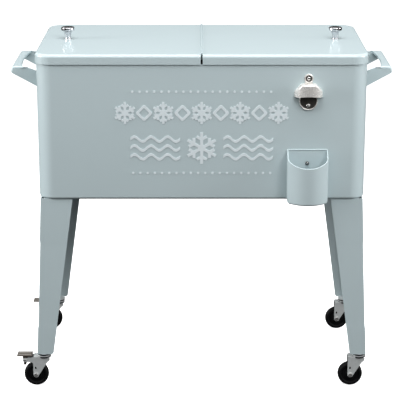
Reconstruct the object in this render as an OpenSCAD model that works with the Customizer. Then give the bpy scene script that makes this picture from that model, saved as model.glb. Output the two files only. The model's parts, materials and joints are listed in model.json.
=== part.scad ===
// Patio cooler: an insulated tub on four tapered legs with swivel casters, two lids that
// hinge on a centre bar, side handles, a wall opener and a lift-off cap catcher.
// Frame: origin on the floor below the tub's centre, +X to the right, -Y to the front, +Z up.

/* [Cabinet] */
// Outer width of the painted cabinet
body_w = 794; // [640:1:960]
// Outer depth of the painted cabinet
body_d = 424; // [340:1:520]
// Height of the cabinet wall, from its bottom edge to the rim
body_h = 334.5; // [270:0.5:420]
// Radius of the cabinet's upright corners
body_r = 38; // [20:1:60]
// Radius where the wall turns under the cabinet
base_r = 7; // [3:0.5:10]
// Sheet thickness of the cabinet
shell_t = 1.5; // [1:0.1:3]
// Width of the lip that the wall turns inward over the bottom panel
shell_lip = 112; // [100:1:130]
// How far the bottom panel laps over that lip on each side
pan_lap = 20; // [10:1:25]
// Thickness of the foam between cabinet and tub
foam_t = 25; // [15:1:40]
// Wall of the inner tub
liner_t = 1.5; // [1:0.1:3]
// Radius of the tub's upright corners
tub_r = 14; // [8:1:24]

/* [Rim and lids] */
// Height of the rim frame above the cabinet wall
rim_h = 5; // [3:0.5:8]
// Height of the lid gasket
gasket_h = 3; // [2:0.5:5]
// Width of the lid gasket
gasket_w = 10; // [6:0.5:14]
// How far the lids stand out past the cabinet on each side
lid_over = 3; // [2:0.5:6]
// Height of the lid from skirt edge to top
lid_h = 24; // [20:0.5:32]
// Radius along the lid's top edge
lid_edge_r = 8; // [4:0.5:12]
// Sheet thickness of the lid
lid_t = 1.2; // [0.8:0.1:2]
// How far the skirt reaches down over the cabinet wall
skirt_lap = 1; // [0.5:0.1:4]
// Gap between the two lids at the centre
seam_w = 5; // [4.6:0.1:8]
// How far each lid swings open, degrees
lid_swing = 82; // [60:1:82]

/* [Hinge] */
// Diameter of the hinge pin
pin_d = 2.4; // [1.6:0.1:2.6]
// Outer radius of the hinge knuckles
knuckle_r = 2.4; // [2.2:0.1:2.6]
// Height of the hinge axis above the lids' tops
hinge_rise = 0.8; // [0.4:0.1:1.5]
// Sheet thickness of the hinge leaves and the bar's web
leaf_t = 1.2; // [0.8:0.1:1.4]
// Distance from the front edge of the lids to the end of the hinge
hinge_setback = 10; // [9:1:60]
// Number of knuckles
knuckle_n = 10; // [7:3:16]
// Width of the hinge bar across the tub
bar_w = 36; // [30:1:60]
// Depth of the hinge bar
bar_h = 14; // [8:1:25]

/* [Knobs] */
// Height of a lid knob above the lid
knob_h = 30; // [20:1:40]
// Diameter of the knob's cap
knob_cap_d = 33; // [24:1:40]
// Distance of a knob from the cabinet's centre
knob_x = 334; // [250:1:340]

/* [Legs] */
// Height of a leg from its foot to the cabinet
leg_h = 402.5; // [300:0.5:500]
// Width of a leg's face at the top
leg_top_w = 78; // [60:1:95]
// Width of a leg's face at the foot
leg_foot_w = 40; // [34:1:50]
// Sheet thickness of a leg
leg_t = 2; // [1.5:0.1:3]
// Distance of a leg from the cabinet's side at the top
leg_inset = 4.5; // [2:0.5:8]
// How far a leg's foot stands out sideways from its top
splay_x = 18.4; // [0:0.1:30]
// How far a leg's foot stands out to the front or back from its top
splay_y = 8; // [0:0.1:20]
// Radius of a leg's outer corner at the top
leg_top_r = 38; // [15:1:45]
// Radius of a leg's outer corner at the foot
leg_foot_r = 16; // [8:1:20]
// Size of the bolting flange at the top of a leg
leg_flange = 50; // [40:1:56]
// Diameter of a leg bolt
bolt_d = 6; // [4:0.5:8]

/* [Casters] */
// Height from the floor to a leg's foot
caster_h = 87; // [80:1:100]
// Diameter of a wheel
wheel_d = 62; // [50:1:64]
// Width of a wheel
wheel_w = 20; // [16:1:24]
// Distance of the wheel's axle behind the swivel axis
trail = 21; // [15:1:28]
// Diameter of the wheel's axle
axle_d = 6; // [5:0.5:8]
// Diameter of the swivel pin
kingpin_d = 8; // [6:0.5:10]
// Side of the square plate that fills the leg's foot
plate_w = 28; // [26:1:32]
// Thickness of that plate
plate_t = 2.5; // [2:0.5:4]
// Diameter of the swivel cup
cup_d = 34; // [30:1:38]
// Height of the swivel cup
cup_h = 7; // [5:0.5:9]
// Sheet thickness of a caster fork
fork_t = 2.5; // [2:0.1:3]
// Running clearance in radius of wheels and swivels
run_gap = 0.05; // [0.02:0.01:0.1]

/* [Brakes] */
// Distance of the pedal's pivot behind the swivel axis
pedal_back = 49; // [44:1:54]
// Height of the pedal's pivot above the wheel's top
pedal_up = 8; // [6:1:12]
// Length of the pedal's foot plate
pedal_l = 38; // [28:1:44]
// Diameter of the pedal's pin
pedal_pin_d = 4; // [3:0.5:5]

/* [Side handles] */
// Length of a side handle from front arm to back arm
handle_l = 210; // [150:1:260]
// How far a handle stands out from the cabinet
handle_out = 70; // [55:1:90]
// Width of the flat grip at its ends
grip_w = 28; // [22:1:36]
// How much narrower the grip is at its middle
grip_waist = 7; // [0:1:10]
// Sheet thickness of a handle
handle_t = 2.5; // [2:0.1:4]
// Distance from the cabinet's wall top down to the grip's top
grip_drop = 26; // [15:1:60]
// Height of a handle's arm where it meets the cabinet
arm_h = 40; // [30:1:60]

/* [Bottle opener] */
// Distance of the opener and catcher from the cabinet's centre
opener_x = 255; // [150:1:300]
// Distance from the cabinet's wall top down to the opener's upper screw
opener_drop = 34; // [24:1:80]
// Distance between the opener's two screws
opener_screws_apart = 66; // [50:1:80]
// Width of the opener's hood
hood_w = 69; // [50:1:80]
// How far the hood stands out from the cabinet
hood_out = 29; // [20:1:36]
// Diameter of the wall screws
screw_d = 4.5; // [3:0.5:6]

/* [Cap catcher] */
// Width of the catcher
catcher_w = 98; // [80:1:120]
// Height of the catcher's back
catcher_h = 126; // [100:1:150]
// Depth of the catcher from back to front
catcher_out = 62; // [52:1:80]
// How much lower the front rim is than the back
catcher_slope = 34; // [20:1:50]
// How far the catcher's front bows out from its sides
catcher_bow = 27; // [15:1:38]
// Sheet thickness of the catcher
catcher_t = 1.5; // [1:0.1:2.5]
// Gap between the catcher's back and the cabinet
catcher_gap = 0.3; // [0.3:0.1:1]
// How far the catcher lifts before it comes off its screw
catcher_lift = 12; // [9:1:20]
// Distance from the catcher's top down to its hanging screw
hang_drop = 34; // [24:1:50]

/* [Front emblem] */
// How far the emblem stands out from the front
emblem_t = 0.8; // [0.4:0.1:2]
// Number of dots in each dotted row
dot_n = 20; // [8:1:24]
// Distance between dots
dot_pitch = 17.45; // [12:0.05:20]
// Diameter of a dot
dot_d = 6; // [3:0.5:8]

/* [Drain] */
// Distance of the drain from the cabinet's centre
drain_x = 300; // [150:1:320]
// Height of the drain above the tub's floor
drain_up = 14; // [12:1:30]
// Diameter of the drain pipe
drain_d = 20; // [14:1:24]
// How far the drain cap screws out
drain_travel = 12; // [8:1:16]

/* [Hidden] */
$fn = 64;
eps = 0.01;
hair = 0.3;

base_z = caster_h + leg_h;
shell_top = base_z + body_h;
rim_top = shell_top + rim_h;
gasket_top = rim_top + gasket_h;
lid_bottom = shell_top - skirt_lap;
lid_top = lid_bottom + lid_h;
lid_w = body_w + 2 * lid_over;
lid_d = body_d + 2 * lid_over;
lid_r = body_r + lid_over;

gasket_in = lid_over + shell_t + 3;

cavity_w = body_w - 2 * shell_t;
cavity_d = body_d - 2 * shell_t;
cavity_r = body_r - shell_t;
pan_t = shell_t;
floor_top = base_z + shell_t;
liner_w = cavity_w - 2 * foam_t;
liner_d = cavity_d - 2 * foam_t;
liner_r = tub_r + liner_t;
tub_w = liner_w - 2 * liner_t;
tub_d = liner_d - 2 * liner_t;
liner_z = floor_top + foam_t;
tub_z = liner_z + liner_t;

hinge_z = lid_top + hinge_rise;
hinge_half = lid_d / 2 - hinge_setback;
knuckle_pitch = 2 * hinge_half / knuckle_n;
knuckle_gap = 0.4;
pin_head = 1;
moving_gap = 0.6;
notch_z = hinge_z - knuckle_r - moving_gap;
leaf_x = seam_w / 2 - leaf_t;
leaf_bottom = gasket_top + 2;

knob_foot_r = 7.8;
knob_neck_r = 7;
knob_nut_h = 2;

leg_x = body_w / 2 - leg_inset;
leg_y = body_d / 2 - leg_inset;
foot_x = leg_x + splay_x;
foot_y = leg_y + splay_y;
stem_x = foot_x - leg_t - plate_w / 2;
stem_y = foot_y - leg_t - plate_w / 2;
slab_t = 0.02;
bolt_near = 15;
bolt_far = 34;
bolt_head_h = 4;

axle_z = wheel_d / 2;
cup_z = caster_h - cup_h;
fork_top = cup_z - 2 * hair;
fork_half = wheel_w / 2 + 1.5;
fork_out = fork_half + fork_t;
washer_d = 18;
plate_lean = plate_t * max(splay_x, splay_y) / leg_h;
rivet_h = 4;
lug_w = 2;
pedal_clear = 1.6;
pedal_z = wheel_d + pedal_up;
pedal_half = fork_half - 1;

handle_x = body_w / 2;
grip_z = shell_top - grip_drop;
arm_drop = 14;
arm_z = grip_z - arm_drop;
grip_r = 9;
foot_w = 24;
foot_drop = 8;
foot_screw_up = 10;
foot_screw_down = 6;

screw_head_h = 2.5;
opener_z = shell_top - opener_drop;
opener_t = 3;
hood_t = 4;
hood_bottom = opener_z - 44;
hood_shoulder = opener_z - 31;
hood_top = opener_z - 12;
boss_r = 11;
neck_half = 9;
tongue_r = 22;
catcher_z = base_z;
catcher_top = catcher_z + catcher_h;
hang_z = catcher_top - hang_drop;
front_y = -body_d / 2;

drain_z = tub_z + drain_up;
drain_out = 16;
drain_flange = 3;
emblem_z = base_z + body_h / 2;

paint = [0.68, 0.74, 0.76];
zinc = [0.62, 0.63, 0.64];
dark = [0.10, 0.10, 0.11];

// ---- shared shapes ----

module round_rect(w, d, r) {
    square([w - 2 * r, d], center = true);
    square([w, d - 2 * r], center = true);
    for (x = [-1, 1], y = [-1, 1])
        translate([x * (w / 2 - r), y * (d / 2 - r)]) circle(r);
}

// A side view with its two top corners rounded.
module round_top(w, h, r) {
    translate([-w / 2, 0]) square([w, h - r]);
    translate([-w / 2 + r, 0]) square([w - 2 * r, h]);
    for (x = [-1, 1])
        translate([x * (w / 2 - r), h - r]) circle(r);
}

// A block with round upright corners and a rounded top edge, standing on z = 0.
module soft_block(w, d, h, r, edge) {
    intersection() {
        linear_extrude(h) round_rect(w, d, r);
        translate([0, d, 0]) rotate([90, 0, 0]) linear_extrude(2 * d) round_top(w, h, edge);
        translate([-w, 0, 0]) rotate([90, 0, 90]) linear_extrude(2 * w) round_top(d, h, edge);
    }
}

module ring(w, d, r, wall, h) {
    linear_extrude(h) difference() {
        round_rect(w, d, r);
        round_rect(w - 2 * wall, d - 2 * wall, r - wall);
    }
}

// Both ends of a mirrored pair: sx and sy are 1 or -1.
module at_corner(sx, sy) {
    mirror([sx < 0 ? 1 : 0, 0, 0]) mirror([0, sy < 0 ? 1 : 0, 0]) children();
}

// A rod along Y, centred on y = 0.
module rod_y(r, length) {
    rotate([90, 0, 0]) cylinder(r = r, h = length, center = true);
}

// ---- cabinet ----

// Places of a leg's two bolts, each near one of the leg's faces.
function bolt_place(i) = i == 0
    ? [leg_x - bolt_far, leg_y - bolt_near] : [leg_x - bolt_near, leg_y - bolt_far];

module leg_bolt_holes(z, h) {
    for (sx = [-1, 1], sy = [-1, 1], i = [0, 1])
        translate([sx * bolt_place(i)[0], sy * bolt_place(i)[1], z])
            cylinder(d = bolt_d, h = h);
}

// Screw places on a handle's feet, on the right side.
module handle_screw_places() {
    for (sy = [-1, 1], dz = [foot_screw_up, arm_h - foot_screw_down])
        translate([handle_x, sy * (handle_l / 2 - handle_t - foot_w / 2), arm_z - arm_h + dz])
            rotate([0, 90, 0]) children();
}

module wall_screw_places() {
    for (z = [opener_z, opener_z - opener_screws_apart])
        translate([opener_x, front_y, z]) rotate([90, 0, 0]) children();
}

// The opening inside the turned-in lip, made larger all round by lap.
module lip_opening(lap) {
    round_rect(body_w - 2 * shell_lip + 2 * lap, body_d - 2 * shell_lip + 2 * lap, body_r);
}

module outer_shell() {
    color(paint) difference() {
        translate([0, 0, shell_top]) mirror([0, 0, 1])
            soft_block(body_w, body_d, body_h, body_r, base_r);
        translate([0, 0, shell_top + eps]) mirror([0, 0, 1])
            soft_block(cavity_w, cavity_d, body_h - shell_t + eps, cavity_r, base_r - shell_t);
        translate([0, 0, base_z - 1]) linear_extrude(shell_t + 2) lip_opening(0);
        leg_bolt_holes(base_z - 1, shell_t + 2);
        for (s = [0, 1]) mirror([s, 0, 0]) handle_screw_places()
            cylinder(d = screw_d, h = 4 * shell_t, center = true);
        wall_screw_places() cylinder(d = screw_d, h = 4 * shell_t, center = true);
        translate([opener_x, front_y, hang_z]) rod_y(screw_d / 2, 4 * shell_t);
        translate([-drain_x, body_d / 2, drain_z]) rod_y(drain_d / 2, 4 * shell_t);
    }
}

module bottom_pan() {
    color("gray") translate([0, 0, base_z - pan_t]) linear_extrude(pan_t)
        lip_opening(pan_lap);
}

module foam_insulation() {
    color("khaki") difference() {
        translate([0, 0, floor_top]) linear_extrude(shell_top - floor_top)
            round_rect(cavity_w - 2 * base_r, cavity_d - 2 * base_r, cavity_r);
        translate([0, 0, liner_z]) linear_extrude(shell_top)
            round_rect(liner_w, liner_d, liner_r);
        translate([-drain_x, body_d / 2 - foam_t, drain_z]) rod_y(drain_d / 2, 4 * foam_t);
    }
}

module tub_floor() {
    color("gainsboro") translate([0, 0, liner_z]) linear_extrude(liner_t)
        round_rect(liner_w, liner_d, liner_r);
}

module tub_wall() {
    color("gainsboro") difference() {
        translate([0, 0, tub_z]) ring(liner_w, liner_d, liner_r, liner_t, shell_top - tub_z);
        translate([-drain_x, body_d / 2 - foam_t, drain_z]) rod_y(drain_d / 2, 4 * foam_t);
    }
}

module top_rim() {
    color(dark) difference() {
        translate([0, 0, shell_top]) linear_extrude(rim_h) round_rect(body_w, body_d, body_r);
        translate([0, 0, shell_top - 1]) linear_extrude(rim_h + 2)
            round_rect(tub_w, tub_d, tub_r);
    }
}

// ---- hinge ----

// Fixed knuckles come first of every three, then right, then left.
module knuckles(first) {
    for (i = [first:3:knuckle_n - 1])
        translate([0, -hinge_half + (i + 0.5) * knuckle_pitch, hinge_z])
            rod_y(knuckle_r, knuckle_pitch - knuckle_gap);
}

// Blocks over every third stretch of the hinge, from z1 up past the axis.
module stretches(first, x0, x1, z1, side_gap) {
    for (i = [first:3:knuckle_n - 1])
        translate([x0, -hinge_half + i * knuckle_pitch - side_gap, z1])
            cube([x1 - x0, knuckle_pitch + 2 * side_gap, 2 * knuckle_r + lid_h]);
}

module hinge_bridge() {
    color(paint) difference() {
        union() {
            difference() {
                translate([-bar_w / 2, -tub_d / 2, rim_top - bar_h])
                    cube([bar_w, tub_d, bar_h]);
                translate([-bar_w / 2 + shell_t, -tub_d / 2 - 1, rim_top - bar_h - 1])
                    cube([bar_w - 2 * shell_t, tub_d + 2, bar_h + 1 - shell_t]);
            }
            translate([-leaf_t / 2, -min(hinge_half, tub_d / 2), rim_top - eps])
                cube([leaf_t, 2 * min(hinge_half, tub_d / 2), notch_z - rim_top + eps]);
            intersection() {
                translate([-leaf_t / 2, -hinge_half, notch_z - eps])
                    cube([leaf_t, 2 * hinge_half, hinge_z - notch_z]);
                stretches(0, -leaf_t, leaf_t, notch_z - 1, -knuckle_gap / 2);
            }
            knuckles(0);
        }
        translate([0, 0, hinge_z]) rod_y(pin_d / 2, 3 * hinge_half);
    }
}

module hinge_pin() {
    color(paint) translate([0, 0, hinge_z]) {
        rod_y(pin_d / 2, 2 * hinge_half);
        for (s = [-1, 1]) translate([0, s * (hinge_half + pin_head / 2), 0])
            rod_y(knuckle_r, pin_head);
    }
}

// The leaf of the right lid; others lists the stretches that belong to other leaves.
module hinge_leaf(own, others) {
    color(paint) difference() {
        union() {
            translate([leaf_x, -hinge_half, leaf_bottom])
                cube([leaf_t, 2 * hinge_half, hinge_z - leaf_bottom]);
            knuckles(own);
        }
        for (i = others)
            stretches(i, leaf_x - 1, leaf_x + leaf_t + 1, notch_z, knuckle_gap / 2);
        translate([0, 0, hinge_z]) rod_y(pin_d / 2 + run_gap, 3 * hinge_half);
    }
}

module left_hinge_leaf() mirror([1, 0, 0]) hinge_leaf(2, [0, 1]);
module right_hinge_leaf() hinge_leaf(1, [0, 2]);

// ---- lids, drawn for the right side ----

module lid_half(inset, z, h, edge) {
    intersection() {
        translate([0, 0, z])
            soft_block(lid_w - 2 * inset, lid_d - 2 * inset, h, lid_r - inset, edge);
        translate([seam_w / 2 + inset, -lid_d, z - 1]) cube([lid_w, 2 * lid_d, h + 2]);
    }
}

module knob_shank_hole() {
    translate([knob_x, 0, gasket_top - 1]) cylinder(d = screw_d, h = lid_h);
}

module lid_skin() {
    color(paint) difference() {
        lid_half(0, lid_bottom, lid_h, lid_edge_r);
        lid_half(lid_t, lid_bottom - 1, lid_h + 1 - lid_t, lid_edge_r - lid_t);
        translate([0, lid_t - lid_d / 2, lid_bottom - 1])
            cube([seam_w / 2 + 2 * lid_t, lid_d - 2 * lid_t, gasket_top - lid_bottom + 1]);
        knob_shank_hole();
    }
}

module lid_plan(inset) {
    intersection() {
        round_rect(lid_w - 2 * inset, lid_d - 2 * inset, lid_r - inset);
        translate([seam_w / 2 + inset, -lid_d]) square([lid_w, 2 * lid_d]);
    }
}

module lid_liner() {
    color("gainsboro") difference() {
        translate([0, 0, gasket_top]) linear_extrude(lid_t) lid_plan(lid_t);
        knob_shank_hole();
    }
}

module lid_foam() {
    color("khaki") difference() {
        translate([0, 0, gasket_top + lid_t])
            linear_extrude(lid_top - gasket_top - 2 * lid_t - lid_edge_r / 2)
                lid_plan(lid_edge_r);
        knob_shank_hole();
    }
}

module lid_gasket() {
    color(dark) translate([0, 0, rim_top]) linear_extrude(gasket_h) difference() {
        lid_plan(gasket_in);
        lid_plan(gasket_in + gasket_w);
    }
}

module knob() {
    cap_r = knob_cap_d / 2;
    color("silver") translate([knob_x, 0, lid_top]) rotate_extrude() polygon([
        [0, 0], [knob_foot_r, 0], [knob_neck_r, 1.5], [knob_neck_r + 3.5, knob_h * 0.62],
        [cap_r - 1.5, knob_h * 0.68], [cap_r, knob_h * 0.73], [cap_r, knob_h * 0.95],
        [cap_r - 1, knob_h], [0, knob_h]
    ]);
}

module knob_screw() {
    color(zinc) translate([knob_x, 0, gasket_top]) {
        cylinder(d = screw_d, h = lid_top - gasket_top);
        translate([0, 0, -knob_nut_h]) cylinder(d = 2 * screw_d, h = knob_nut_h);
    }
}

module left_lid_skin() mirror([1, 0, 0]) lid_skin();
module right_lid_skin() lid_skin();
module left_lid_liner() mirror([1, 0, 0]) lid_liner();
module right_lid_liner() lid_liner();
module left_lid_foam() mirror([1, 0, 0]) lid_foam();
module right_lid_foam() lid_foam();
module left_lid_gasket() mirror([1, 0, 0]) lid_gasket();
module right_lid_gasket() lid_gasket();
module left_knob() mirror([1, 0, 0]) knob();
module right_knob() knob();
module left_knob_screw() mirror([1, 0, 0]) knob_screw();
module right_knob_screw() knob_screw();

// ---- legs, drawn for the right back corner ----

// A leg's plan: a square of side w from the outer corner [x, y], that corner rounded.
module leg_plan(x, y, w, r) {
    translate([x - r, y - r]) circle(r, $fn = 32);
    translate([x - w, y - w]) square([w - r, w]);
    translate([x - w, y - w]) square([w, w - r]);
}

// The tapered column between foot and cabinet, run on past both ends by over.
module leg_column(inset, spread, over) {
    hull() {
        translate([0, 0, base_z - slab_t + over]) linear_extrude(slab_t)
            leg_plan(leg_x - inset, leg_y - inset, leg_top_w + spread, leg_top_r - inset);
        translate([0, 0, caster_h - over]) linear_extrude(slab_t)
            leg_plan(foot_x - inset, foot_y - inset, leg_foot_w + spread, leg_foot_r - inset);
    }
}

module leg() {
    color(paint) {
        difference() {
            leg_column(0, 0, 0);
            leg_column(leg_t, leg_top_w, 0.5);
        }
        difference() {
            translate([0, 0, base_z - leg_t]) linear_extrude(leg_t) leg_plan(
                leg_x - leg_t / 2, leg_y - leg_t / 2, leg_flange, leg_top_r - leg_t / 2);
            leg_bolt_holes(base_z - 2 * leg_t, 3 * leg_t);
        }
    }
}

module right_back_leg() leg();
module left_back_leg() at_corner(-1, 1) leg();
module right_front_leg() at_corner(1, -1) leg();
module left_front_leg() at_corner(-1, -1) leg();

module leg_bolts() {
    color(zinc) {
        leg_bolt_holes(base_z - leg_t, leg_t + shell_t);
        for (sx = [-1, 1], sy = [-1, 1], i = [0, 1])
            translate([sx * bolt_place(i)[0], sy * bolt_place(i)[1], base_z - leg_t - bolt_head_h])
                cylinder(d = 1.7 * bolt_d, h = bolt_head_h, $fn = 6);
    }
}

// ---- casters, drawn with the swivel axis at x = 0, y = 0 and the wheel towards -X ----

module caster_places(sx, sy) {
    translate([sx * stem_x, sy * stem_y, 0]) children();
}

module caster_plate(sx, sy) {
    color(zinc) at_corner(sx, sy) translate([0, 0, caster_h]) linear_extrude(plate_t)
        leg_plan(foot_x - leg_t - plate_lean, foot_y - leg_t - plate_lean, plate_w, leg_foot_r);
    color(zinc) caster_places(sx, sy) {
        translate([0, 0, cup_z]) cylinder(d = cup_d, h = cup_h);
        translate([0, 0, fork_top - fork_t - rivet_h]) {
            cylinder(d = kingpin_d, h = cup_h + fork_t + rivet_h);
            cylinder(d = 1.6 * kingpin_d, h = rivet_h - hair);
        }
    }
}

module swivel_washers() {
    color("ivory") for (sx = [-1, 1], sy = [-1, 1]) caster_places(sx, sy)
        translate([0, 0, cup_z - hair]) difference() {
            cylinder(d = washer_d, h = hair);
            translate([0, 0, -1]) cylinder(d = kingpin_d, h = 2);
        }
}

module cheek(braked) {
    difference() {
        union() {
            hull() {
                translate([-trail, axle_z]) circle(9, $fn = 32);
                translate([-cup_d / 2, fork_top - fork_t]) square([cup_d - 4, fork_t]);
            }
            if (braked) hull() {
                translate([-pedal_back, pedal_z]) circle(5, $fn = 32);
                translate([-trail, fork_top - 9]) circle(6, $fn = 32);
            }
        }
        translate([-trail, axle_z]) circle(d = axle_d);
        translate([-trail * 0.75, (axle_z + fork_top) / 2]) circle(4);
        if (braked) translate([-pedal_back, pedal_z]) circle(d = pedal_pin_d);
    }
}

module fork(sx, sy, braked) {
    color(zinc) caster_places(sx, sy) {
        for (y = [-fork_out, fork_half])
            translate([0, y + fork_t, 0]) rotate([90, 0, 0]) linear_extrude(fork_t) cheek(braked);
        translate([0, 0, fork_top - fork_t]) linear_extrude(fork_t) difference() {
            union() {
                circle(d = cup_d - 2);
                translate([-cup_d / 2, -fork_out]) square([cup_d - 4, 2 * fork_out]);
            }
            circle(r = kingpin_d / 2 + run_gap);
        }
    }
}

module axle(sx, sy) {
    color("silver") caster_places(sx, sy) translate([-trail, 0, axle_z]) {
        rod_y(axle_d / 2, 2 * fork_out);
        translate([0, -fork_out - 1.5, 0]) rod_y(axle_d * 0.85, 3);
        translate([0, fork_out + 2, 0]) rotate([90, 0, 0])
            cylinder(d = axle_d * 1.75, h = 4, center = true, $fn = 6);
    }
}

module wheel(sx, sy) {
    hub_r = wheel_d * 0.17;
    web_r = wheel_d * 0.36;
    web_half = wheel_w * 0.24;
    tread_half = wheel_w * 0.3;
    color(dark) caster_places(sx, sy) translate([-trail, 0, axle_z]) rotate([90, 0, 0])
        rotate_extrude() polygon([
            [axle_d / 2 + run_gap, -wheel_w / 2 - 1], [hub_r, -wheel_w / 2 - 1],
            [hub_r, -web_half], [web_r, -web_half], [web_r + 2, -wheel_w / 2],
            [wheel_d / 2 - 3, -wheel_w / 2], [wheel_d / 2, -tread_half],
            [wheel_d / 2, tread_half], [wheel_d / 2 - 3, wheel_w / 2],
            [web_r + 2, wheel_w / 2], [web_r, web_half], [hub_r, web_half],
            [hub_r, wheel_w / 2 + 1], [axle_d / 2 + run_gap, wheel_w / 2 + 1]
        ]);
}

module brake_pedal(sx, sy) {
    plate_z = fork_top + pedal_clear;
    shoe_h = 14;
    color("dimgray") caster_places(sx, sy) {
        for (y = [-pedal_half, pedal_half - lug_w]) translate([0, y + lug_w, 0])
            rotate([90, 0, 0]) linear_extrude(lug_w) difference() {
                union() {
                    translate([-pedal_back, pedal_z]) circle(5);
                    translate([-pedal_back - 5, pedal_z]) square([10, plate_z - pedal_z]);
                }
                translate([-pedal_back, pedal_z]) circle(r = pedal_pin_d / 2 + run_gap);
            }
        difference() {
            union() {
                translate([-pedal_back, 0, pedal_z]) rod_y(3.2, 2 * pedal_half - 2 * lug_w);
                translate([-pedal_back - 3, -pedal_half + lug_w, pedal_z - shoe_h])
                    cube([6, 2 * pedal_half - 2 * lug_w, shoe_h]);
            }
            translate([-pedal_back, 0, pedal_z]) rod_y(pedal_pin_d / 2 + run_gap, 4 * fork_out);
        }
        translate([-pedal_back - pedal_l / 2, -fork_out - 1, plate_z])
            cube([pedal_l, 2 * fork_out + 2, lug_w]);
    }
}

module brake_pin(sx, sy) {
    color("silver") caster_places(sx, sy) translate([-pedal_back, 0, pedal_z]) {
        rod_y(pedal_pin_d / 2, 2 * fork_out);
        for (s = [-1, 1]) translate([0, s * (fork_out + 0.75), 0]) rod_y(pedal_pin_d * 0.8, 1.5);
    }
}

module left_front_caster_plate() caster_plate(-1, -1);
module right_front_caster_plate() caster_plate(1, -1);
module left_back_caster_plate() caster_plate(-1, 1);
module right_back_caster_plate() caster_plate(1, 1);
module left_front_fork() fork(-1, -1, true);
module right_front_fork() fork(1, -1, false);
module left_back_fork() fork(-1, 1, true);
module right_back_fork() fork(1, 1, false);
module left_front_axle() axle(-1, -1);
module right_front_axle() axle(1, -1);
module left_back_axle() axle(-1, 1);
module right_back_axle() axle(1, 1);
module left_front_wheel() wheel(-1, -1);
module right_front_wheel() wheel(1, -1);
module left_back_wheel() wheel(-1, 1);
module right_back_wheel() wheel(1, 1);
module left_front_brake_pedal() brake_pedal(-1, -1);
module left_back_brake_pedal() brake_pedal(-1, 1);
module left_front_brake_pin() brake_pin(-1, -1);
module left_back_brake_pin() brake_pin(-1, 1);

// ---- side handles, drawn for the right side ----

// Outline of an arm in X and Z, from the cabinet to the rounded outer end.
module arm_outline() {
    hull() {
        translate([handle_x + handle_out - grip_r, grip_z - grip_r]) circle(grip_r, $fn = 32);
        translate([handle_x + handle_out - grip_w, grip_z - handle_t]) square([1, handle_t]);
        translate([handle_x, arm_z - arm_h]) square([handle_t, arm_h]);
    }
}

module handle() {
    outer_x = handle_x + handle_out;
    inner_x = outer_x - grip_w;
    waist_r = (pow(handle_l / 2, 2) + pow(grip_waist, 2)) / (2 * grip_waist);
    color(paint) {
        for (y = [-handle_l / 2, handle_l / 2 - handle_t])
            translate([0, y + handle_t, 0]) rotate([90, 0, 0]) linear_extrude(handle_t)
                arm_outline();
        difference() {
            translate([inner_x, -handle_l / 2, grip_z - grip_r])
                cube([grip_w, handle_l, grip_r]);
            translate([inner_x - 1, -handle_l, grip_z - grip_r - 1])
                cube([grip_w + 1 - grip_r, 2 * handle_l, grip_r + 1 - handle_t]);
            translate([outer_x - grip_r, 0, grip_z - grip_r])
                rod_y(grip_r - handle_t, 2 * handle_l);
            translate([outer_x - grip_r, -handle_l, grip_z - 2 * grip_r]) difference() {
                cube([2 * grip_r, 2 * handle_l, 3 * grip_r]);
                translate([0, handle_l, grip_r]) rod_y(grip_r, 3 * handle_l);
            }
            translate([inner_x + grip_waist - waist_r, 0, grip_z - grip_r])
                cylinder(r = waist_r, h = 3 * grip_r, center = true, $fn = 128);
        }
        difference() {
            for (s = [0, 1]) mirror([0, s, 0])
                translate([handle_x, handle_l / 2 - handle_t - foot_w, arm_z - arm_h - foot_drop])
                    cube([handle_t, foot_w + handle_t, arm_h + foot_drop]);
            handle_screw_places() cylinder(d = screw_d, h = 4 * handle_t, center = true);
        }
    }
}

module right_handle() handle();
module left_handle() mirror([1, 0, 0]) handle();

module handle_screws() {
    color("silver") for (s = [0, 1]) mirror([s, 0, 0]) handle_screw_places() {
        translate([0, 0, -shell_t]) cylinder(d = screw_d, h = shell_t + handle_t);
        translate([0, 0, handle_t]) cylinder(d = 2 * screw_d, h = screw_head_h);
    }
}

// ---- bottle opener ----

// The hood's solid, set in by inset: upright and round in plan, with sloping shoulders.
module hood_form(inset, bottom) {
    half = hood_w / 2 - inset;
    neck = boss_r - inset / 2;
    intersection() {
        translate([opener_x, front_y + hood_w / 2 - hood_out, bottom])
            cylinder(r = half, h = shell_top - bottom);
        translate([opener_x, front_y, 0]) rotate([90, 0, 0]) linear_extrude(hood_w) polygon([
            [-half, bottom], [half, bottom], [half, hood_shoulder - inset],
            [neck, hood_top - inset], [-neck, hood_top - inset], [-half, hood_shoulder - inset]
        ]);
    }
}

module bottle_opener() {
    low_z = opener_z - opener_screws_apart;
    color("silver") {
        difference() {
            translate([opener_x, front_y, 0]) rotate([90, 0, 0]) linear_extrude(opener_t) {
                translate([0, opener_z]) circle(boss_r);
                translate([-neck_half, low_z]) square([2 * neck_half, opener_screws_apart]);
                translate([0, low_z + tongue_r / 2]) circle(tongue_r);
                translate([-tongue_r, low_z + tongue_r / 2])
                    square([2 * tongue_r, hood_shoulder - low_z - tongue_r / 2]);
            }
            wall_screw_places() cylinder(d = screw_d, h = 6 * opener_t, center = true);
        }
        difference() {
            hood_form(0, hood_bottom);
            hood_form(hood_t, hood_bottom - 1);
        }
    }
}

module opener_screws() {
    color("silver") wall_screw_places() {
        translate([0, 0, -shell_t]) cylinder(d = screw_d, h = shell_t + opener_t);
        translate([0, 0, opener_t]) cylinder(d = 2 * screw_d, h = screw_head_h);
    }
}

// ---- cap catcher ----

module catcher_plan(inset) {
    half = catcher_w / 2;
    front_r = (half * half + catcher_bow * catcher_bow) / (2 * catcher_bow);
    intersection() {
        translate([0, catcher_out - front_r]) circle(front_r - inset);
        translate([-half + inset, inset]) square([2 * (half - inset), catcher_out]);
    }
}

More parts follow.
